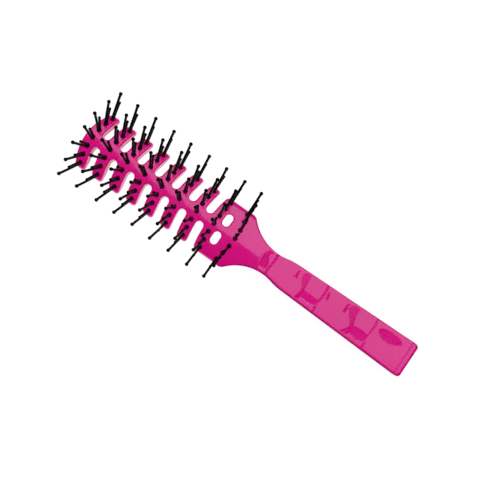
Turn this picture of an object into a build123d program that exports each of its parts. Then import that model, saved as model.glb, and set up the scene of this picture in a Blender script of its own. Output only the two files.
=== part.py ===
from build123d import *
import os
from math import cos, radians, sin, sqrt

# Nine-row vent brush, millimetres. X runs along the brush with the handle's end at +X, Y runs across it,
# and Z points up from the surface that the brush lies on towards the pins.

# Whole brush
brush_length = 221.0
arch_height = 10.0          # crown of the head above the resting surface
tip_x = -brush_length / 2
end_x = brush_length / 2

# Head: a shell bent round an axis along X
head_radius = 24.6          # pin side of the shell
head_wall = 3.6
head_half_width = 17.95
arch_centre_z = arch_height - head_radius
tip_bow_radius = 59.0       # the head's front edge is a shallow arc in plan
head_corner_radius = 1.5
hollow_end_x = -6.4         # the hollow under the head ends here, in a rounded wall
hollow_end_radius = 3.0

# Shoulder, neck and handle in plan
neck_x = 15.0
neck_half_width = 6.9
shoulder_radius = 27.3
flare_angle = 13.5          # degrees turned by the neck's arc before the handle's flank begins
flank_start = (30.5, 8.75)
handle_end_half_width = 10.65
handle_corner_radius = 2.5

# Handle's upper side: a dip at the neck, then long shallow finger dents that meet in creases
crest_x = 8.9               # where the head's surface ends
crease_xs = (16.1, 49.4, 83.0, 105.2)
roof_start_z = 9.0          # height of the creases at the neck and at the handle's end
roof_end_z = 9.8
neck_dip_depth = 0.7
dent_depth = 0.55
end_drop = 0.9              # the top slopes down a little behind the last crease

# Rows of pins
row_count = 9
row_pitch = 11.78
first_row_x = tip_x + 4.6
last_row_gap = 14.5         # the ninth row stands further from the eighth
pin_angles = [12.66 * step for step in range(-3, 4)]
rib_bow_radius = 118.0      # rows 1 to 8 bend towards the handle at their ends
last_row_bow_radius = 51.0  # row 9 bends the other way

# Slots between the ribs, and the two oval vents behind row 8
slot_width = 5.25
slot_inner_y = 2.9
slot_shift = -0.5           # slots sit a little nearer the tip than midway between rows
vent_length = 7.8
vent_width = 4.7
vent_y = 5.95
vent_x = -18.3

# Carrier strips and their bosses
strip_width = 3.2
strip_thickness = 1.1
strip_end_angle = 41.0
boss_diameter = 3.1
boss_rise = 0.35            # bosses stand this far above the head's surface

# Pins
pin_seat = 1.6              # depth of a pin below the head's surface
tall_height = 20.7
short_height = 12.9
pin_root_diameter = 1.25
pin_top_diameter = 1.2
tall_tip_diameter = 2.0
short_tip_diameter = 1.6
tall_offset = -0.6          # places of the two pins in a boss, measured round the arch
short_offset = 0.8
tall_lean = 1.66            # degrees from the boss's own direction, towards +Y
short_lean = 5.5

# Edge rounding
handle_edge_radius = 2.2
vent_edge_radius = 0.6
base_edge_radius = 0.8

margin = 2.0                # how far cutting shapes run past the body
strip_radius = head_radius - head_wall


def row_x(row):
    """Place of a row's middle pin along the brush; rows count from 1 at the tip."""
    if row < row_count:
        return first_row_x + (row - 1) * row_pitch
    return first_row_x + (row_count - 2) * row_pitch + last_row_gap


def row_bow(row, y):
    """Shift along X, at a distance y from the middle, that bends a row in plan."""
    if row < row_count:
        return y * y / (2 * rib_bow_radius)
    return -y * y / (2 * last_row_bow_radius)


def roof_z(x):
    """Height of the handle's upper side, before the dents, at x."""
    return roof_start_z + (roof_end_z - roof_start_z) * (x - crease_xs[0]) / (end_x - crease_xs[0])


def boss_plane(row, angle):
    """Plane at the head's surface with its normal along the boss and its X axis along the brush."""
    y = head_radius * sin(radians(angle))
    z = arch_centre_z + head_radius * cos(radians(angle))
    normal = (0, sin(radians(angle)), cos(radians(angle)))
    return Plane(origin=(row_x(row) + row_bow(row, y), y, z), x_dir=(1, 0, 0), z_dir=normal)


def pin_plane(row, angle, offset, lean):
    """Plane through a pin's axis: origin at the head's surface, local Y up the pin and local X along the brush."""
    seat = boss_plane(row, angle)
    across = Vector(0, cos(radians(angle)), -sin(radians(angle)))
    tipped = radians(angle + lean)
    return Plane(origin=seat.origin + across * offset, x_dir=(1, 0, 0), z_dir=(0, -cos(tipped), sin(tipped)))


def turn_pin(plane, height, tip_diameter):
    """Turn one pin about the plane's local Y: a tapered shaft with a rounded tip, added to the open part."""
    root = pin_root_diameter / 2
    top = pin_top_diameter / 2
    tip = tip_diameter / 2
    tip_centre = height - tip
    shaft_end = tip_centre - sqrt(tip ** 2 - top ** 2)
    with BuildSketch(plane) as profile:
        with BuildLine():
            shaft = Polyline((0, -pin_seat), (root, -pin_seat), (top, shaft_end))
            ball = ThreePointArc(shaft @ 1, (tip, tip_centre), (0, height))
            Line(ball @ 1, shaft @ 0)
        make_face()
    revolve(profile.sketch, axis=Axis(plane.origin, plane.y_dir))


def bowed_line(row, x, y_start, y_end, side):
    """Arc in plan at x, bent as its row is, from y_start to y_end on one side of the brush."""
    y_middle = (y_start + y_end) / 2
    ends = [(x + row_bow(row, y), side * y) for y in (y_start, y_middle, y_end)]
    return ThreePointArc(*ends)


# Plan of the moulding: the outline of one half, mirrored, less the slots and the vents
shoulder_centre_y = neck_half_width + shoulder_radius
corner_drop = shoulder_centre_y - head_half_width
shoulder_x = neck_x - sqrt(shoulder_radius ** 2 - corner_drop ** 2)
flare_point = (
    neck_x + shoulder_radius * sin(radians(flare_angle)),
    shoulder_centre_y - shoulder_radius * cos(radians(flare_angle)),
)
tip_sagitta = tip_bow_radius - sqrt(tip_bow_radius ** 2 - head_half_width ** 2)

with BuildSketch() as plan:
    with BuildLine():
        tip_edge = RadiusArc((tip_x, 0), (tip_x + tip_sagitta, head_half_width), tip_bow_radius)
        side_edge = Line(tip_edge @ 1, (shoulder_x, head_half_width))
        neck_arc = RadiusArc(side_edge @ 1, flare_point, -shoulder_radius)
        flare = TangentArc(neck_arc @ 1, flank_start, tangent=neck_arc % 1)
        flank = Line(flare @ 1, (end_x, handle_end_half_width))
        end_edge = Line(flank @ 1, (end_x, 0))
        Line(end_edge @ 1, (tip_x, 0))
    make_face()
    mirror(about=Plane.XZ)
    for row in range(1, row_count - 1):
        slot_x = (row_x(row) + row_x(row + 1)) / 2 + slot_shift
        for side in (-1, 1):
            slot_line = bowed_line(row, slot_x, slot_inner_y + slot_width / 2, head_half_width + slot_width, side)
            SlotArc(slot_line, slot_width, mode=Mode.SUBTRACT)
    with Locations((vent_x, vent_y), (vent_x, -vent_y)):
        SlotOverall(vent_length, vent_width, rotation=90, mode=Mode.SUBTRACT)
    outer_corners = plan.vertices().filter_by(lambda corner: abs(abs(corner.Y) - head_half_width) < 0.1)
    fillet(outer_corners, head_corner_radius)
    end_corners = plan.vertices().group_by(Axis.X)[-1]
    fillet(end_corners, handle_corner_radius)

# Room for each row's carrier: a groove along the inside of the shell, with a radial hole for every boss
fillings = []
for row in range(1, row_count + 1):
    with BuildPart() as filling:
        with BuildSketch(Plane.YZ.offset(row_x(row) - 4 * strip_width)):
            with Locations((0, arch_centre_z)):
                Circle(strip_radius + strip_thickness)
                Circle(strip_radius, mode=Mode.SUBTRACT)
        extrude(amount=8 * strip_width)
        strip_reach = strip_radius * sin(radians(strip_end_angle)) - strip_width / 2
        end_bow = row_bow(row, strip_reach)
        with BuildSketch(Plane.XY):
            ends = [(row_x(row) + bow, y) for bow, y in ((end_bow, -strip_reach), (0, 0), (end_bow, strip_reach))]
            SlotArc(ThreePointArc(*ends), strip_width)
        extrude(amount=arch_height, mode=Mode.INTERSECT)
        for angle in pin_angles:
            with BuildSketch(boss_plane(row, angle).offset(boss_rise)):
                Circle(boss_diameter / 2)
            extrude(amount=-(boss_rise + head_wall - strip_thickness / 2))
    fillings.append(filling)

# The moulding: the plan raised, arched on top, roofed over the handle, dented and hollowed from below
with BuildPart() as brush_body:
    add(plan.sketch)
    extrude(amount=arch_height)
    base_edges = brush_body.faces().sort_by(Axis.Z)[0].edges()
    fillet(base_edges, base_edge_radius)

    with BuildSketch(Plane.YZ.offset(tip_x - margin)):
        with Locations((0, arch_height)):
            Rectangle(4 * head_half_width, 4 * arch_height)
        with Locations((0, arch_centre_z)):
            Circle(head_radius, mode=Mode.SUBTRACT)
    extrude(amount=crease_xs[0] - tip_x + margin, mode=Mode.SUBTRACT)
    head_face = brush_body.faces().filter_by(GeomType.CYLINDER).sort_by(SortBy.AREA)[-1]
    vent_edges = [edge for ring in head_face.inner_wires() for edge in ring.edges()]
    fillet(vent_edges, vent_edge_radius)

    far_x = end_x + margin
    with BuildSketch(Plane.XZ):
        with BuildLine():
            roof = Line((crease_xs[0], roof_start_z), (far_x, roof_z(far_x)))
            Polyline(roof @ 1, (far_x, 2 * arch_height), (crease_xs[0], 2 * arch_height), roof @ 0)
        make_face()
    extrude(amount=2 * head_half_width, both=True, mode=Mode.SUBTRACT)
    roof_face = brush_body.faces().filter_by(GeomType.PLANE).sort_by(Axis.Z)[-1]
    roof_edges = roof_face.edges().filter_by_position(Axis.X, crease_xs[0] + 0.1, end_x)
    fillet(roof_edges, handle_edge_radius)

    dip_z = (arch_height + roof_start_z) / 2 - neck_dip_depth
    with BuildSketch(Plane.XZ):
        with BuildLine():
            path = ThreePointArc(
                (crest_x, arch_height),
                ((crest_x + crease_xs[0]) / 2, dip_z),
                (crease_xs[0], roof_start_z),
            )
            for dent_start, dent_end in zip(crease_xs, crease_xs[1:]):
                dent_x = (dent_start + dent_end) / 2
                ThreePointArc(
                    (dent_start, roof_z(dent_start)),
                    (dent_x, roof_z(dent_x) - dent_depth),
                    (dent_end, roof_z(dent_end)),
                )
            Polyline(
                (crease_xs[-1], roof_z(crease_xs[-1])),
                (end_x, roof_z(end_x) - end_drop),
                (far_x, roof_z(end_x) - end_drop),
                (far_x, 2 * arch_height),
                (crest_x, 2 * arch_height),
                (crest_x, arch_height),
            )
        make_face()
    extrude(amount=2 * head_half_width, both=True, mode=Mode.SUBTRACT)

    with BuildSketch(Plane.YZ.offset(tip_x - margin)):
        with Locations((0, arch_centre_z)):
            Circle(strip_radius)
    extrude(amount=hollow_end_x - tip_x + margin, mode=Mode.SUBTRACT)
    end_wall = brush_body.faces().filter_by(GeomType.PLANE).filter_by_position(
        Axis.X, hollow_end_x - 0.01, hollow_end_x + 0.01
    )
    fillet(end_wall.edges().filter_by(GeomType.CIRCLE), hollow_end_radius)

    for filling in fillings:
        add(filling.part, mode=Mode.SUBTRACT)

# Pins: a long ball-tipped one and a short round-ended one in every boss, each a solid of its own
tall_pins = []
short_pins = []
for row in range(1, row_count + 1):
    with BuildPart() as tall_row:
        for angle in pin_angles:
            turn_pin(pin_plane(row, angle, tall_offset, tall_lean), tall_height, tall_tip_diameter)
    with BuildPart() as short_row:
        for angle in pin_angles:
            turn_pin(pin_plane(row, angle, short_offset, short_lean), short_height, short_tip_diameter)
    tall_pins.append(tall_row)
    short_pins.append(short_row)

# Carrier strips: each fills its groove and its holes, and holds the roots of its fourteen pins
strips = []
for filling, tall_row, short_row in zip(fillings, tall_pins, short_pins):
    with BuildPart() as strip:
        add(filling.part)
        add(tall_row.part, mode=Mode.SUBTRACT)
        add(short_row.part, mode=Mode.SUBTRACT)
    strips.append(strip)

pieces = {"brush_body": brush_body}
for row in range(1, row_count + 1):
    pieces[f"bristle_strip_{row}"] = strips[row - 1]
    pieces[f"tall_pins_{row}"] = tall_pins[row - 1]
    pieces[f"short_pins_{row}"] = short_pins[row - 1]

os.makedirs("parts", exist_ok=True)
for name, piece in pieces.items():
    piece.part.label = name
    export_step(piece.part, f"parts/{name}.step")
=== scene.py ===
import math
import random

import bmesh
import bpy
import numpy as np
from mathutils import Matrix, Vector


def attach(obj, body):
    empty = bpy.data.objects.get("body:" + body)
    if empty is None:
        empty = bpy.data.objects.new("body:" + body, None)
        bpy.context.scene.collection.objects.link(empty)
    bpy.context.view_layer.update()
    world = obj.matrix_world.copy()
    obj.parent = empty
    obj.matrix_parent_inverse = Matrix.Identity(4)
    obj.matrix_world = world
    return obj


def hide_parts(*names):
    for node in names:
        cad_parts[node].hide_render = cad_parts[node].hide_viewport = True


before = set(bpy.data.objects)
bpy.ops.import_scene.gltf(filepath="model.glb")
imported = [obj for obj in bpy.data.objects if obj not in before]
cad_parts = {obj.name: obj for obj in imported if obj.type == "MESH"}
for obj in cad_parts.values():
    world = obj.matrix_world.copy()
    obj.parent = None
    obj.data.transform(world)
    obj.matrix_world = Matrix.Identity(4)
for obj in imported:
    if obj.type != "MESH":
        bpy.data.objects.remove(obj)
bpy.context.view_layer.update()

# A nine-row vent brush. The brush's own sizes are in millimetres, as in the CAD model, and MM turns them
# into Blender's metres. X runs along the brush to the handle's end, Y across it, Z up towards the pins.
MM = 0.001

# Whole brush and head
BRUSH_LENGTH = 221.0
TIP_X = -BRUSH_LENGTH / 2
END_X = BRUSH_LENGTH / 2
CROWN_Z = 10.0
HEAD_RADIUS = 24.6
HEAD_WALL = 3.6
SHELL_RADIUS = HEAD_RADIUS - HEAD_WALL
AXIS_Z = CROWN_Z - HEAD_RADIUS
HEAD_HALF_WIDTH = 17.95
TIP_BOW_RADIUS = 59.0
HOLLOW_END_X = -6.4

# Shoulder, neck and handle in plan
NECK_X = 15.4
NECK_HALF_WIDTH = 7.0
SHOULDER_RADIUS = 27.3
FLARE_ANGLE = math.radians(13.5)
FLANK_START = (30.5, 8.75)
HANDLE_END_HALF_WIDTH = 10.65

# Handle's upper side
CREST_X = 8.2
CREASES = (16.1, 49.4, 83.0, 106.6)
ROOF_START_Z = 9.0
ROOF_END_Z = 9.8
NECK_DIP = 0.32
DENT = 0.55
END_DROP = 0.35

# Rows, slots and vents
ROWS = 9
ROW_PITCH = 11.78
FIRST_ROW_X = TIP_X + 4.6
LAST_ROW_GAP = 14.5
PIN_STEP = math.radians(12.66)
PINS_PER_ROW = 7
RIB_BOW_RADIUS = 118.0
LAST_BOW_RADIUS = 51.0
SLOT_WIDTH = 4.7
SLOT_INNER_Y = 3.2
SLOT_SHIFT = -0.45
VENT_LENGTH = 7.5
VENT_WIDTH = 4.4
VENT_X = -18.15
VENT_Y = 5.95

# Rims that hang below the shell round each slot
RIM_THICKNESS = 1.0
RIM_DEPTH = 2.3

# Edge rounding
HEAD_CORNER = 1.5
RIB_CORNER = 2.2
HANDLE_CORNER = 2.1
HOLLOW_FILLET = 3.0
TOP_EDGE = 1.1
HANDLE_EDGE = 1.0
END_EDGE = 3.0
BASE_EDGE = 0.8
INNER_EDGE = 0.5
CREST_ROUND = 0.5
FINE_EDGE = 0.15

# Relief on the handle: cross creases, and tilted facets let into its upper side. These are two hooks, a
# leaf, three nicks and a hollow at the neck. Corners are (x, y). A facet is level with the handle at its top
# y, and sinks from there towards -Y. A hook has two tops: one before its bend, and a lower one beyond it.
CREASE_DEPTH = 0.42
CREASE_HALF_WIDTH = 0.85
END_CREASE_DEPTH = 0.3
END_CREASE_HALF_WIDTH = 1.3
CREASE_WAVE = 0.25
CREASE_WAVE_Y = 2.7
CREASE_WAVE_LENGTH = 13.0
CREASE_WAVE_SHIFT = 0.4
FACET_EDGE = 0.3
FACET_MARGIN = 1.0
HOOK_TILT = 0.06
HOOK_TOP = 8.3
HOOKS = (
    dict(
        corners=[
            (36.1, 8.1), (38.0, 8.1), (38.2, 4.4), (38.8, -1.3), (43.0, -1.1), (48.3, -1.8), (48.3, -5.1),
            (43.6, -5.8), (39.1, -5.5), (38.3, -7.2), (36.9, -7.2), (37.9, -3.3), (37.4, -0.6), (34.1, 4.2),
            (34.1, 5.8),
        ],
        bend_x=38.6,
        low_top=-1.0,
    ),
    dict(
        corners=[
            (67.1, 8.2), (71.3, 8.2), (71.0, 3.3), (72.4, -1.7), (78.0, -0.7), (82.1, -1.7), (82.1, -6.3),
            (78.5, -7.0), (73.0, -6.3), (71.3, -7.7), (68.8, -7.7), (71.3, -3.9), (70.7, -1.1), (66.0, 4.4),
            (66.0, 5.8),
        ],
        bend_x=72.0,
        low_top=-0.6,
    ),
)
LEAF_TILT = 0.085
LEAF_MIDDLE = (93.6, 4.75)
LEAF_HALF = (7.3, 3.15)
NICK_TILT = 0.09
NICKS = (
    dict(corners=[(30.3, 6.4), (31.5, 6.4), (31.4, 1.7), (30.4, 1.7)], top=6.6),
    dict(corners=[(51.0, 6.1), (51.8, 6.1), (52.8, 1.7), (52.0, 1.7)], top=6.3),
    dict(corners=[(63.5, 7.2), (64.8, 7.2), (64.6, 1.7), (63.7, 1.7)], top=7.4),
)
NECK_TILT = 0.08
NECK_HOLLOW = [
    (9.1, 6.6), (14.6, 6.4), (12.2, 4.0), (12.0, 2.2), (14.0, -1.2), (14.0, -3.2), (13.0, -4.2), (10.4, -4.2),
    (9.7, -2.0),
]
NECK_HOLLOW_TOP = 7.0

# How the head turns into the handle: past the crest the arch climbs out of the way, and the edge rounding
# goes over into the handle's. A fade is the stretch of X in which a change happens.
CREST_CLIMB = 2.5
ARCH_LIFT = 8.0
ARCH_FADE = (CREST_X + 1, CREASES[0] + 2)
EDGE_FADE = (CREST_X - 3, CREASES[0] + 4)
END_FADE = (CREASES[-1], END_X - 1)

# Carrier strips and their bosses
STRIP_WIDTH = 3.2
STRIP_THICKNESS = 1.1
STRIP_END_ANGLE = math.radians(41)
STRIP_GAP = 0.08
STRIP_SINK = 0.1
BOSS_DIAMETER = 2.6
BOSS_RISE = 0.35
BOSS_GAP = 0.04
BOSS_ROUND = 0.35
STRIP_CUT = 1.9 * STRIP_WIDTH
STRIP_ROOM = 2 * STRIP_WIDTH

# Pins. Foot and collar are (height, extra radius) steps, from the seat and from the shaft's end. A kind's
# offset is its place round the arch from the boss's middle. It leans towards +Y, and its tilt is its slope
# towards +X.
PIN_SEAT = 1.6
TALL = dict(height=20.7, tip=2.1, offset=-0.6, lean=math.radians(2.5), tilt=0.0142)
SHORT = dict(height=12.9, tip=1.7, offset=0.8, lean=math.radians(5.3), tilt=0.029)
PIN_ROOT = 1.5
PIN_TOP = 1.42
PIN_SWAY = math.radians(1.0)
PIN_FOOT = ((0.0, 0.16), (0.18, 0.07), (0.45, 0.015))
PIN_COLLAR = ((-0.12, 0.01), (0.02, 0.06))
COLLAR_ROOM = 0.3
SHAFT_RINGS = 9
BALL_START = 0.25
BALL_RINGS = 9
PIN_SIDES = 12

# Meshing: cell sizes, the least squared slope that a step counts with, and the longest step in cells
CELL = 0.32
STRIP_CELL = 0.25
LEAST_SQUARED_SLOPE = 0.04
LONGEST_STEP = 0.4
TINY = 1e-9

# Chance and colours
PIN_SEED = 11
PINK = (0.64, 0.0012, 0.2)
PINK_DEEP = (0.605, 0.0006, 0.184)
PINK_PALE = (0.70, 0.03, 0.26)
PINK_IOR = 1.5
NYLON_IOR = 1.08

# Light, in metres: an even white surrounding that is brighter overhead, a soft key, a floor that glows by
# itself, a large card overhead that only reflections see, and a small lit card under the head
SKY_LOW = 0.46
SKY_HIGH = 1.3
KEY_POWER = 1.0
KEY_SIZE = 0.9
KEY_PLACE = (0.25, 0.5, 1.1)
FLOOR_TONE = 0.15
FLOOR_GLOW = 0.88
FLOOR_HALF = 5.0
BACKDROP_RADIUS = 6.0
CARD_X = (-0.62, 0.80)
CARD_Y = (0.006, 12.0)
CARD_Z = 1.0
CARD_COLOUR = (0.85, 1.0, 1.25)
CARD_LOW = 1.62
CARD_HIGH = 1.85
CARD_REACH = 0.8
UNDER_X = (-0.125, -0.01)
UNDER_Y = (-0.026, 0.026)
UNDER_Z = 0.0002
UNDER_GLOW = 1.3

# Camera: above the brush, tipped slightly towards -Y and rolled so that the handle runs down to the right
CAMERA_AIM = (-0.85 * MM, -0.1 * MM, 10.0 * MM)
CAMERA_DISTANCE = 0.2918
CAMERA_TILT = math.radians(4.11)
CAMERA_ROLL = math.radians(35.35)
CAMERA_LENS = 38.3

camera_data = bpy.data.cameras.new("camera")
camera_data.lens = CAMERA_LENS
camera_data.sensor_width = 36.0
camera_data.clip_start = 0.01
camera = bpy.data.objects.new("camera", camera_data)
turned = Matrix.Rotation(CAMERA_TILT, 4, "X") @ Matrix.Rotation(CAMERA_ROLL, 4, "Z")
camera.matrix_world = Matrix.Translation(CAMERA_AIM) @ turned @ Matrix.Translation((0, 0, CAMERA_DISTANCE))
bpy.context.scene.collection.objects.link(camera)
bpy.context.scene.camera = camera


# ---------------------------------------------------------------- solid shapes from distance fields

def round_and(a, b, radius):
    """Distance to the overlap of two solids, with a fillet of that radius where they meet."""
    corner = np.hypot(np.maximum(a + radius, 0), np.maximum(b + radius, 0))
    return np.minimum(np.maximum(a, b), -radius) + corner


def round_or(a, b, radius):
    """Distance to two solids joined, with a fillet of that radius in the corner between them."""
    corner = np.hypot(np.maximum(radius - a, 0), np.maximum(radius - b, 0))
    return np.maximum(np.minimum(a, b), radius) - corner


def smooth_step(low, high, value):
    """0 below low, 1 above high, and a smooth curve between."""
    t = np.clip((value - low) / (high - low), 0, 1)
    return t * t * (3 - 2 * t)


def hump(t):
    """Parabola that rises from 0 to 1 and falls back to 0 while t goes from 0 to 1."""
    return 4 * t * (1 - t)


def field_slope(field, points, step=0.02):
    """Gradient of a distance field at the points."""
    slope = np.empty_like(points)
    for axis in range(3):
        shift = np.zeros(3)
        shift[axis] = step
        slope[:, axis] = (field(points + shift) - field(points - shift)) / (2 * step)
    return slope


def net_surface(field, low, high, cell, passes=6):
    """Quad mesh of a field's zero surface by surface nets, its points then moved onto it in passes."""
    axes = [np.arange(lo - 2 * cell, hi + 3 * cell, cell) for lo, hi in zip(low, high)]
    shape = tuple(len(axis) for axis in axes)
    values = np.empty(shape)
    yy, zz = np.meshgrid(axes[1], axes[2], indexing="ij")
    for i, x in enumerate(axes[0]):
        slab = np.stack([np.full(yy.size, x), yy.ravel(), zz.ravel()], axis=1)
        values[i] = field(slab).reshape(yy.shape)
    inside = values < 0
    cells = tuple(n - 1 for n in shape)
    total = np.zeros(cells + (3,))
    count = np.zeros(cells)
    corners = [(i, j, k) for i in (0, 1) for j in (0, 1) for k in (0, 1)]

    def corner_view(array, corner):
        return array[tuple(slice(c, c + n) for c, n in zip(corner, cells))]

    for a in corners:
        for axis in range(3):
            if a[axis]:
                continue
            b = tuple(c + (1 if n == axis else 0) for n, c in enumerate(a))
            va, vb = corner_view(values, a), corner_view(values, b)
            cut = corner_view(inside, a) != corner_view(inside, b)
            where = np.divide(va, va - vb, out=np.zeros_like(va), where=cut)
            for n in range(3):
                total[..., n] += np.where(cut, a[n] + (where if n == axis else 0), 0)
            count += cut
    used = count > 0
    index = np.full(cells, -1)
    index[used] = np.arange(used.sum())
    starts = np.stack(np.nonzero(used), axis=1)
    origin = np.array([axis[0] for axis in axes])
    points = origin + cell * (starts + total[used] / count[used][:, None])

    quads = []
    for axis in range(3):
        u, v = (axis + 1) % 3, (axis + 2) % 3
        first = [slice(1, n - 1) for n in shape]
        first[axis] = slice(0, shape[axis] - 1)
        second = list(first)
        second[axis] = slice(1, shape[axis])
        low_in, high_in = inside[tuple(first)], inside[tuple(second)]
        crossing = np.stack(np.nonzero(low_in != high_in), axis=1)
        outward = low_in[tuple(crossing.T)]
        node = crossing + np.array([0 if n == axis else 1 for n in range(3)])
        ring = []
        for du, dv in ((0, 0), (-1, 0), (-1, -1), (0, -1)):
            near = node.copy()
            near[:, u] += du
            near[:, v] += dv
            ring.append(index[tuple(near.T)])
        face = np.stack(ring, axis=1)
        quads.append(np.where(outward[:, None], face, face[:, ::-1]))
    quads = np.concatenate(quads)

    # steps along the slope; the least slope and the longest step keep points near a crease from running off
    for _ in range(passes):
        slope = field_slope(field, points)
        size = np.maximum((slope ** 2).sum(axis=1), LEAST_SQUARED_SLOPE)
        move = -(field(points) / size)[:, None] * slope
        reach = np.linalg.norm(move, axis=1, keepdims=True)
        points += move * np.minimum(1, LONGEST_STEP * cell / np.maximum(reach, TINY))
    slope = field_slope(field, points)
    normals = slope / np.maximum(np.linalg.norm(slope, axis=1, keepdims=True), TINY)
    return points, quads, normals


def field_mesh(name, field, low, high, cell):
    """Mesh in metres of a field given in millimetres, shaded with the field's own normals."""
    points, quads, normals = net_surface(field, low, high, cell)
    mesh = bpy.data.meshes.new(name)
    mesh.vertices.add(len(points))
    mesh.vertices.foreach_set("co", (points * MM).astype(np.float32).ravel())
    mesh.loops.add(4 * len(quads))
    mesh.loops.foreach_set("vertex_index", quads.astype(np.int32).ravel())
    mesh.polygons.add(len(quads))
    mesh.polygons.foreach_set("loop_start", np.arange(0, 4 * len(quads), 4, dtype=np.int32))
    mesh.update(calc_edges=True)
    mesh.validate()
    mesh.polygons.foreach_set("use_smooth", np.ones(len(mesh.polygons), bool))
    if len(mesh.vertices) == len(normals):
        mesh.normals_split_custom_set_from_vertices(normals.tolist())
    mesh.update()
    return mesh


# ---------------------------------------------------------------- rows, arch and body

def row_x(row):
    """Place of a row's middle pin along the brush; rows count from 1 at the tip."""
    if row < ROWS:
        return FIRST_ROW_X + (row - 1) * ROW_PITCH
    return FIRST_ROW_X + (ROWS - 2) * ROW_PITCH + LAST_ROW_GAP


def row_bow(row, y):
    """Shift along X at y that bends a row in plan; the last row bends the other way."""
    if row < ROWS:
        return y * y / (2 * RIB_BOW_RADIUS)
    return -y * y / (2 * LAST_BOW_RADIUS)


def outline(x, y):
    """Distance in plan to the brush's outline, without its slots and vents."""
    side = np.abs(y)
    shoulder_y = NECK_HALF_WIDTH + SHOULDER_RADIUS
    flare_x = NECK_X + SHOULDER_RADIUS * math.sin(FLARE_ANGLE)
    flare_y = shoulder_y - SHOULDER_RADIUS * math.cos(FLARE_ANGLE)
    shoulder = SHOULDER_RADIUS - np.hypot(x - NECK_X, side - shoulder_y)

    # the handle's flank: a cubic from the end of the shoulder's arc, then a straight taper
    reach = FLANK_START[0] - flare_x
    taper = (HANDLE_END_HALF_WIDTH - FLANK_START[1]) / (END_X - FLANK_START[0])
    rise = FLANK_START[1] - flare_y
    start = math.tan(FLARE_ANGLE) * reach
    finish = taper * reach
    t = np.clip((x - flare_x) / reach, 0, 1)
    square = 3 * rise - 2 * start - finish
    cube = start + finish - 2 * rise
    curve = flare_y + start * t + square * t ** 2 + cube * t ** 3
    slope = (start + 2 * square * t + 3 * cube * t ** 2) / reach
    straight = np.maximum(x - FLANK_START[0], 0) * taper
    flank = (side - curve - straight) / np.hypot(1, slope)
    waist = np.where(x < flare_x, shoulder, flank)

    bow = np.sqrt(TIP_BOW_RADIUS ** 2 - np.minimum(side, TIP_BOW_RADIUS / 2) ** 2)
    tip = (TIP_X + TIP_BOW_RADIUS - bow - x) * bow / TIP_BOW_RADIUS
    shape = round_and(side - HEAD_HALF_WIDTH, waist, HEAD_CORNER)
    shape = round_and(shape, tip, HEAD_CORNER)
    return round_and(shape, x - END_X, HANDLE_CORNER)


def openings(x, y):
    """Distances in plan to the nearest of the fourteen slots and to the nearer of the two vents."""
    side = np.abs(y)
    first = FIRST_ROW_X + ROW_PITCH / 2 + SLOT_SHIFT
    along = x - side ** 2 / (2 * RIB_BOW_RADIUS) - first
    along = along - ROW_PITCH * np.clip(np.round(along / ROW_PITCH), 0, ROWS - 3)
    half = SLOT_WIDTH / 2
    slot = np.hypot(along, np.minimum(side - SLOT_INNER_Y - half, 0)) - half
    straight = (VENT_LENGTH - VENT_WIDTH) / 2
    vent = np.hypot(x - VENT_X, np.maximum(np.abs(side - VENT_Y) - straight, 0)) - VENT_WIDTH / 2
    return slot, vent


def polygon(x, y, corners):
    """Signed distance in plan to a polygon, negative inside."""
    nearest = np.full(x.shape, np.inf)
    inside = np.zeros(x.shape, bool)
    for (ax, ay), (bx, by) in zip(corners, corners[1:] + corners[:1]):
        t = np.clip(((x - ax) * (bx - ax) + (y - ay) * (by - ay)) / ((bx - ax) ** 2 + (by - ay) ** 2), 0, 1)
        nearest = np.minimum(nearest, np.hypot(x - ax - t * (bx - ax), y - ay - t * (by - ay)))
        if ay != by:
            crosses = (ay > y) != (by > y)
            inside ^= crosses & (x < ax + (y - ay) * (bx - ax) / (by - ay))
    return np.where(inside, -nearest, nearest)


def leaf(x, y):
    """Depth of the leaf-shaped facet near the handle's end."""
    across = np.hypot((x - LEAF_MIDDLE[0]) / LEAF_HALF[0], (y - LEAF_MIDDLE[1]) / LEAF_HALF[1])
    inside = smooth_step(-FACET_EDGE, FACET_EDGE, LEAF_HALF[1] * (1 - across))
    return inside * LEAF_TILT * np.maximum(LEAF_MIDDLE[1] + LEAF_HALF[1] - y, 0)


def sunk(x, y, corners, top, tilt):
    """Depth of a facet let into the handle: level with it at y = top, and deeper towards -Y by the tilt."""
    xs, ys = zip(*corners)
    near = (x > min(xs) - FACET_MARGIN) & (x < max(xs) + FACET_MARGIN)
    near &= (y > min(ys) - FACET_MARGIN) & (y < max(ys) + FACET_MARGIN)
    depth = np.zeros(x.shape)
    inside = smooth_step(-FACET_EDGE, FACET_EDGE, FACET_EDGE / 2 - polygon(x[near], y[near], corners))
    depth[near] = (tilt * np.maximum(top - y, 0))[near] * inside
    return depth


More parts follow.
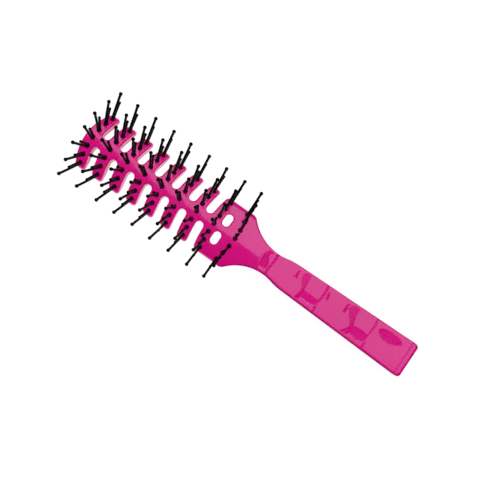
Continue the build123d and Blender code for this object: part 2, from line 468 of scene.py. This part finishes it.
def roof(x, y):
    """Height of the handle's upper side: neck dip, finger dents, creases between them, facets and the end."""
    height = ROOF_START_Z + (ROOF_END_Z - ROOF_START_Z) * (x - CREASES[0]) / (END_X - CREASES[0])
    for start, end in zip(CREASES, CREASES[1:]):
        t = np.clip((x - start) / (end - start), 0, 1)
        height = height - DENT * hump(t)
    height = height - END_DROP * np.maximum(x - CREASES[-1], 0) / (END_X - CREASES[-1])
    for hook in HOOKS:
        past_bend = smooth_step(hook["bend_x"] - FACET_EDGE, hook["bend_x"] + 2 * FACET_EDGE, x)
        top = HOOK_TOP + (hook["low_top"] - HOOK_TOP) * past_bend
        height = height - sunk(x, y, hook["corners"], top, HOOK_TILT)
    height = height - leaf(x, y)
    for nick in NICKS:
        height = height - sunk(x, y, nick["corners"], nick["top"], NICK_TILT)

    # the neck falls quickly from the crest to its dip, in which a lopsided hollow is sunk
    t = (CREASES[0] - x) / (CREASES[0] - CREST_X)
    neck = ROOF_START_Z + (CROWN_Z - ROOF_START_Z) * t - NECK_DIP * hump(t)
    neck = neck - sunk(x, y, NECK_HOLLOW, NECK_HOLLOW_TOP, NECK_TILT)
    neck = neck + CREST_CLIMB * np.maximum(CREST_X - x, 0)
    height = np.where(x < CREASES[0], neck, height)

    # the creases wave a little along X, all but the one near the end
    wave = CREASE_WAVE * (np.cos((y - CREASE_WAVE_Y) * 2 * math.pi / CREASE_WAVE_LENGTH) - CREASE_WAVE_SHIFT)
    for crease in CREASES[:-1]:
        height = height - CREASE_DEPTH * np.maximum(1 - np.abs(x - crease - wave) / CREASE_HALF_WIDTH, 0)
    height = height - END_CREASE_DEPTH * np.maximum(1 - np.abs(x - CREASES[-1]) / END_CREASE_HALF_WIDTH, 0)
    return height


def from_nearest_row(x, y):
    """Signed distance along X to the nearest row's line at y."""
    along = x - row_bow(1, y) - FIRST_ROW_X
    along = along - ROW_PITCH * np.clip(np.round(along / ROW_PITCH), 0, ROWS - 2)
    last = x - row_bow(ROWS, y) - row_x(ROWS)
    return np.where(np.abs(last) < np.abs(along), last, along)


def nearest_boss(p):
    """For each point: sideways distance from the axis of the nearest boss, and height up that axis."""
    x, y, z = p[:, 0], p[:, 1], p[:, 2]
    turn = np.arctan2(y, z - AXIS_Z)
    radial = np.hypot(y, z - AXIS_Z)
    half = PINS_PER_ROW // 2
    angle = PIN_STEP * np.clip(np.round(turn / PIN_STEP), -half, half)
    across = radial * np.sin(turn - angle)
    up = radial * np.cos(turn - angle)
    along = from_nearest_row(x, HEAD_RADIUS * np.sin(angle))
    return np.hypot(along, across), up


def strip_plan(p):
    """Distance in plan to the nearest row's carrier strip."""
    x, y = p[:, 0], p[:, 1]
    reach = SHELL_RADIUS * math.sin(STRIP_END_ANGLE) - STRIP_WIDTH / 2
    return np.hypot(from_nearest_row(x, y), np.maximum(np.abs(y) - reach, 0)) - STRIP_WIDTH / 2


def body_field(p):
    """Signed distance, roughly, to the pink moulding."""
    x, y, z = p[:, 0], p[:, 1], p[:, 2]
    radial = np.hypot(y, z - AXIS_Z)
    plan = outline(x, y)
    slot, vent = openings(x, y)
    plan = round_and(plan, -slot, RIB_CORNER)
    plan = np.maximum(plan, -vent)
    arch = radial - HEAD_RADIUS - ARCH_LIFT * smooth_step(*ARCH_FADE, x)
    top = round_and(arch, z - roof(x, y), CREST_ROUND)
    edge = TOP_EDGE + (HANDLE_EDGE - TOP_EDGE) * smooth_step(*EDGE_FADE, x)
    edge = edge + (END_EDGE - HANDLE_EDGE) * smooth_step(*END_FADE, x)
    solid = round_and(plan, top, edge)
    solid = round_and(solid, -z, BASE_EDGE)
    hollow = round_and(radial - SHELL_RADIUS, x - HOLLOW_END_X, HOLLOW_FILLET)
    rim = np.maximum(slot - RIM_THICKNESS, SHELL_RADIUS - RIM_DEPTH - radial)
    hollow = round_and(hollow, -rim, FINE_EDGE)
    solid = round_and(solid, -hollow, INNER_EDGE)
    groove = np.maximum(strip_plan(p), radial - SHELL_RADIUS - STRIP_THICKNESS)
    solid = round_and(solid, -groove, FINE_EDGE)
    from_axis, _ = nearest_boss(p)
    return round_and(solid, BOSS_DIAMETER / 2 - from_axis, FINE_EDGE)


def strips_field(p):
    """Signed distance to the carrier strips: bands in the grooves, with bosses that fill the holes."""
    radial = np.hypot(p[:, 1], p[:, 2] - AXIS_Z)
    plan = strip_plan(p) + STRIP_GAP
    low = SHELL_RADIUS + STRIP_SINK - radial
    high = radial - SHELL_RADIUS - STRIP_THICKNESS
    band = round_and(round_and(plan, low, FINE_EDGE), high, FINE_EDGE)
    from_axis, up = nearest_boss(p)
    stem = from_axis - BOSS_DIAMETER / 2 + BOSS_GAP
    boss = round_and(stem, up - HEAD_RADIUS - BOSS_RISE, BOSS_ROUND)
    boss = np.maximum(boss, SHELL_RADIUS + STRIP_THICKNESS / 2 - up)
    return round_or(band, boss, FINE_EDGE)


def one_strip_field(row):
    """Field of one row's strip alone."""
    def field(p):
        beyond = np.abs(p[:, 0] - row_x(row)) - STRIP_CUT
        return np.maximum(strips_field(p), beyond)

    return field


# ---------------------------------------------------------------- pins

def pin_rings(height, tip):
    """Profile of a pin as (distance up the pin, radius) pairs: flared foot, tapered shaft, ball tip."""
    root, top, ball = PIN_ROOT / 2, PIN_TOP / 2, tip / 2
    centre = height - ball
    neck = math.asin(top / ball)
    shaft_end = centre - ball * math.cos(neck)
    foot_top = PIN_FOOT[-1][0]
    rings = [(-PIN_SEAT, root)]
    rings += [(up, root + extra) for up, extra in PIN_FOOT]
    for i in range(1, SHAFT_RINGS):
        t = i / SHAFT_RINGS
        rings.append((foot_top + (shaft_end - foot_top - COLLAR_ROOM) * t, root + (top - root) * t))
    rings += [(shaft_end + up, top + extra) for up, extra in PIN_COLLAR]
    first_turn = neck + BALL_START
    for i in range(1, BALL_RINGS):
        turn = first_turn + (math.pi - first_turn) * i / BALL_RINGS
        rings.append((centre - ball * math.cos(turn), ball * math.sin(turn)))
    return rings


def pin_place(row, step, kind):
    """Seat of a pin on the arch, its direction, and the direction across it in its own plane."""
    angle = step * PIN_STEP
    seat_y = HEAD_RADIUS * math.sin(angle)
    seat = Vector((row_x(row) + row_bow(row, seat_y), seat_y, AXIS_Z + HEAD_RADIUS * math.cos(angle)))
    seat += kind["offset"] * Vector((0, math.cos(angle), -math.sin(angle)))
    tipped = angle + kind["lean"]
    axis = Vector((kind["tilt"], math.sin(tipped), math.cos(tipped)))
    side = Vector((0, math.cos(tipped), -math.sin(tipped)))
    return seat, axis, side


def add_pin(points, faces, rings, height, place, sway_x, sway_y):
    """Add one pin to the lists: rings of points up its bent middle line, and a point that closes each end."""
    seat, axis, side = place
    along = Vector((1, 0, 0))

    def middle(up):
        bend = max(up, 0) ** 2 / height
        drop = (sway_x ** 2 + sway_y ** 2) * max(up, 0) / 2
        return seat + axis * (up - drop) + along * (bend * sway_x) + side * (bend * sway_y)

    first = len(points)
    for up, radius in rings:
        for n in range(PIN_SIDES):
            turn = 2 * math.pi * (n + 0.5) / PIN_SIDES
            spoke = math.cos(turn) * along + math.sin(turn) * side
            points.append((middle(up) + spoke * radius) * MM)
    for ring in range(len(rings) - 1):
        for n in range(PIN_SIDES):
            a = first + ring * PIN_SIDES + n
            b = first + ring * PIN_SIDES + (n + 1) % PIN_SIDES
            faces.append((a, b, b + PIN_SIDES, a + PIN_SIDES))
    last = len(points) - PIN_SIDES
    points.append(middle(height) * MM)
    points.append(middle(-PIN_SEAT) * MM)
    for n in range(PIN_SIDES):
        beside = (n + 1) % PIN_SIDES
        faces.append((last + n, last + beside, len(points) - 2))
        faces.append((first + beside, first + n, len(points) - 1))


def pin_row(name, row, kind, draw):
    """One mesh with a row's seven pins, each bent a little by seeded chance, the outermost only inwards."""
    rings = pin_rings(kind["height"], kind["tip"])
    half = PINS_PER_ROW // 2
    points, faces = [], []
    for step in range(-half, half + 1):
        sway_x = draw.gauss(0, PIN_SWAY)
        sway_y = draw.gauss(0, PIN_SWAY)
        if abs(step) == half:
            sway_y = -math.copysign(abs(sway_y), step)
        add_pin(points, faces, rings, kind["height"], pin_place(row, step, kind), sway_x, sway_y)
    mesh = bpy.data.meshes.new(name)
    mesh.from_pydata(points, [], faces)
    mesh.polygons.foreach_set("use_smooth", [True] * len(mesh.polygons))
    mesh.update()
    return mesh


# ---------------------------------------------------------------- materials

def new_material(name):
    """A node material; gives the material, its node tree and its Principled shader."""
    material = bpy.data.materials.new(name)
    material.use_nodes = True
    tree = material.node_tree
    return material, tree, tree.nodes["Principled BSDF"]


def noise(tree, scale, detail=2.0, stretch=(1, 1, 1), distortion=0.0):
    """Noise in object space, scale in cells per metre; gives its value output."""
    coords = tree.nodes.new("ShaderNodeTexCoord")
    mapping = tree.nodes.new("ShaderNodeMapping")
    mapping.inputs["Scale"].default_value = stretch
    texture = tree.nodes.new("ShaderNodeTexNoise")
    texture.inputs["Scale"].default_value = scale
    texture.inputs["Detail"].default_value = detail
    texture.inputs["Distortion"].default_value = distortion
    tree.links.new(coords.outputs["Object"], mapping.inputs["Vector"])
    tree.links.new(mapping.outputs["Vector"], texture.inputs["Vector"])
    return texture.outputs["Fac"]


def remap(tree, value, low, high, to_low, to_high):
    """Map a value socket from low..high to to_low..to_high, held at both ends."""
    node = tree.nodes.new("ShaderNodeMapRange")
    node.inputs["From Min"].default_value = low
    node.inputs["From Max"].default_value = high
    node.inputs["To Min"].default_value = to_low
    node.inputs["To Max"].default_value = to_high
    tree.links.new(value, node.inputs["Value"])
    return node.outputs["Result"]


def mix_colour(tree, factor, a, b):
    """Mix of two colours, each a socket or an RGB triple, by a factor socket."""
    node = tree.nodes.new("ShaderNodeMix")
    node.data_type = "RGBA"
    tree.links.new(factor, node.inputs["Factor"])
    for socket, colour in (("A", a), ("B", b)):
        target = [i for i in node.inputs if i.name == socket and i.type == "RGBA"][0]
        if isinstance(colour, tuple):
            target.default_value = (*colour, 1)
        else:
            tree.links.new(colour, target)
    return [o for o in node.outputs if o.type == "RGBA"][0]


def bump(tree, height, strength, distance, below=None):
    """Bump from a height socket, on top of another bump's normal if one is given; gives the normal."""
    node = tree.nodes.new("ShaderNodeBump")
    node.inputs["Strength"].default_value = strength
    node.inputs["Distance"].default_value = distance
    tree.links.new(height, node.inputs["Height"])
    if below is not None:
        tree.links.new(below, node.inputs["Normal"])
    return node.outputs["Normal"]


def pink_plastic():
    """Glossy moulded plastic: faint flow marks and specks, a soft orange peel, edges worn a touch paler."""
    material, tree, shader = new_material("pink_plastic")
    flow = noise(tree, 34, detail=3, stretch=(0.25, 1, 1), distortion=0.6)
    tone = mix_colour(tree, remap(tree, flow, 0.35, 0.65, 0, 1), PINK_DEEP, PINK)
    specks = noise(tree, 900, detail=1)
    tone = mix_colour(tree, remap(tree, specks, 0.62, 0.75, 0, 0.12), tone, PINK_PALE)
    worn = tree.nodes.new("ShaderNodeNewGeometry").outputs["Pointiness"]
    tone = mix_colour(tree, remap(tree, worn, 0.58, 0.7, 0, 0.2), tone, PINK_PALE)
    tree.links.new(tone, shader.inputs["Base Color"])
    rubbed = noise(tree, 120, detail=4)
    tree.links.new(remap(tree, rubbed, 0.3, 0.7, 0.11, 0.165), shader.inputs["Roughness"])
    shader.inputs["IOR"].default_value = PINK_IOR
    shader.inputs["Subsurface Weight"].default_value = 0.12
    shader.inputs["Subsurface Radius"].default_value = (1.0, 0.25, 0.5)
    shader.inputs["Subsurface Scale"].default_value = 0.0012
    peel = bump(tree, noise(tree, 420, detail=1), 0.05, 0.0002)
    tree.links.new(bump(tree, noise(tree, 2600, detail=2), 0.03, 0.00005, peel), shader.inputs["Normal"])
    return material


def black_nylon(name, base, worn, rough_low, rough_high, grain):
    """Black moulded nylon with a weak mirror: slightly uneven tone and gloss over a fine grain."""
    material, tree, shader = new_material(name)
    tone = mix_colour(tree, remap(tree, noise(tree, 260, detail=3), 0.35, 0.7, 0, 1), base, worn)
    tree.links.new(tone, shader.inputs["Base Color"])
    rubbed = noise(tree, 700, detail=2)
    tree.links.new(remap(tree, rubbed, 0.3, 0.7, rough_low, rough_high), shader.inputs["Roughness"])
    shader.inputs["IOR"].default_value = NYLON_IOR
    tree.links.new(bump(tree, noise(tree, grain, detail=2), 0.08, 0.00006), shader.inputs["Normal"])
    return material


# ---------------------------------------------------------------- the brush

def add_piece(name, mesh, material, slot, *nodes):
    """Put a mesh into the scene in place of CAD nodes, with its material. The slot argument is not used."""
    piece = bpy.data.objects.new(name, mesh)
    bpy.context.scene.collection.objects.link(piece)
    mesh.materials.append(material)
    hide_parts(*nodes)
    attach(piece, "root")
    return piece


pink = pink_plastic()
carrier = black_nylon("black_carrier", (0.004, 0.004, 0.0045), (0.010, 0.0095, 0.0105), 0.34, 0.5, 1800)
nylon = black_nylon("black_pins", (0.0022, 0.0022, 0.0024), (0.005, 0.005, 0.0056), 0.3, 0.42, 2400)

body_low = (TIP_X, -HEAD_HALF_WIDTH, 0)
body_high = (END_X, HEAD_HALF_WIDTH, CROWN_Z)
body_mesh = field_mesh("brush_shell", body_field, body_low, body_high, CELL)
add_piece("brush_shell", body_mesh, pink, "pink_plastic", "brush_body")

draw = random.Random(PIN_SEED)
for row in range(1, ROWS + 1):
    low = (row_x(row) - STRIP_ROOM, -HEAD_HALF_WIDTH, 0)
    high = (row_x(row) + STRIP_ROOM, HEAD_HALF_WIDTH, CROWN_Z + BOSS_RISE)
    strip_mesh = field_mesh(f"strip_{row}", one_strip_field(row), low, high, STRIP_CELL)
    add_piece(f"strip_{row}", strip_mesh, carrier, "black_carrier", f"bristle_strip_{row}")
    tall = pin_row(f"long_pins_{row}", row, TALL, draw)
    long_pins = add_piece(f"long_pins_{row}", tall, nylon, "black_pins", f"tall_pins_{row}")
    short = pin_row(f"low_pins_{row}", row, SHORT, draw)
    low_pins = add_piece(f"low_pins_{row}", short, nylon, "black_pins", f"short_pins_{row}")

    # the pins take no light from the head, so it stays as even as in flat studio light
    long_pins.visible_diffuse = False
    low_pins.visible_diffuse = False


# ---------------------------------------------------------------- floor and light

def staged(name, mesh, material, *rays):
    """Put a floor, backdrop or card into the scene, seen only by the kinds of ray that are named."""
    mesh.materials.append(material)
    thing = bpy.data.objects.new(name, mesh)
    bpy.context.scene.collection.objects.link(thing)
    for ray in ("camera", "diffuse", "glossy", "transmission", "shadow"):
        setattr(thing, "visible_" + ray, ray in rays)


def sheet(name, x, y, z):
    """A flat level mesh over the ranges x and y, at height z."""
    mesh = bpy.data.meshes.new(name)
    mesh.from_pydata([(x[0], y[0], z), (x[1], y[0], z), (x[1], y[1], z), (x[0], y[1], z)], [], [(0, 1, 2, 3)])
    return mesh


def dome(name, radius):
    """A round backdrop all about the scene."""
    mesh = bpy.data.meshes.new(name)
    ball = bmesh.new()
    bmesh.ops.create_icosphere(ball, subdivisions=4, radius=radius)
    ball.to_mesh(mesh)
    ball.free()
    return mesh


def emission(name, colour, strength):
    """A material that only glows; gives the material, its node tree and its emission node."""
    material, tree, shader = new_material(name)
    tree.nodes.remove(shader)
    glow = tree.nodes.new("ShaderNodeEmission")
    glow.inputs["Color"].default_value = (*colour, 1)
    glow.inputs["Strength"].default_value = strength
    tree.links.new(glow.outputs["Emission"], tree.nodes["Material Output"].inputs["Surface"])
    return material, tree, glow


def floor_paint():
    """Pale matt floor that glows, so that it is an even near-white."""
    material, _, shader = new_material("floor")
    shader.inputs["Base Color"].default_value = (FLOOR_TONE, FLOOR_TONE, FLOOR_TONE, 1)
    shader.inputs["Roughness"].default_value = 0.8
    shader.inputs["Specular IOR Level"].default_value = 0.0
    shader.inputs["Emission Color"].default_value = (1, 1, 1, 1)
    shader.inputs["Emission Strength"].default_value = FLOOR_GLOW
    return material


def card_glow():
    """The overhead card's light, which grows along Y away from the brush."""
    material, tree, glow = emission("softbox", CARD_COLOUR, CARD_LOW)
    coords = tree.nodes.new("ShaderNodeTexCoord")
    split = tree.nodes.new("ShaderNodeSeparateXYZ")
    tree.links.new(coords.outputs["Object"], split.inputs["Vector"])
    growing = remap(tree, split.outputs["Y"], 0, CARD_REACH, CARD_LOW, CARD_HIGH)
    tree.links.new(growing, glow.inputs["Strength"])
    return material


def studio_world():
    """White surroundings that light the brush from all round, more from overhead, and don't mirror in it."""
    world = bpy.data.worlds.new("studio")
    bpy.context.scene.world = world
    world.use_nodes = True
    tree = world.node_tree
    background = tree.nodes["Background"]
    background.inputs["Color"].default_value = (1, 1, 1, 1)
    coords = tree.nodes.new("ShaderNodeTexCoord")
    split = tree.nodes.new("ShaderNodeSeparateXYZ")
    tree.links.new(coords.outputs["Generated"], split.inputs["Vector"])
    tree.links.new(remap(tree, split.outputs["Z"], 0, 1, SKY_LOW, SKY_HIGH), background.inputs["Strength"])
    world.cycles_visibility.glossy = False


def key_light():
    """Soft round key light, aimed at the brush."""
    key = bpy.data.lights.new("key", "AREA")
    key.shape = "DISK"
    key.size = KEY_SIZE
    key.energy = KEY_POWER
    lamp = bpy.data.objects.new("key", key)
    lamp.location = KEY_PLACE
    lamp.rotation_euler = Vector(KEY_PLACE).to_track_quat("Z", "Y").to_euler()
    bpy.context.scene.collection.objects.link(lamp)
    lamp.visible_glossy = False


floor_span = (-FLOOR_HALF, FLOOR_HALF)
staged("floor", sheet("floor", floor_span, floor_span, 0), floor_paint(), "camera", "transmission", "shadow")
reflector_glow, _, _ = emission("reflector", (1, 1, 1), UNDER_GLOW)
staged("reflector", sheet("reflector", UNDER_X, UNDER_Y, UNDER_Z), reflector_glow, "diffuse", "glossy")
backdrop_glow, _, _ = emission("backdrop", (1, 1, 1), 1.0)
staged("backdrop", dome("backdrop", BACKDROP_RADIUS), backdrop_glow, "camera")
staged("softbox", sheet("softbox", CARD_X, CARD_Y, CARD_Z), card_glow(), "glossy")
studio_world()
key_light()

bpy.context.scene.view_settings.view_transform = "Standard"
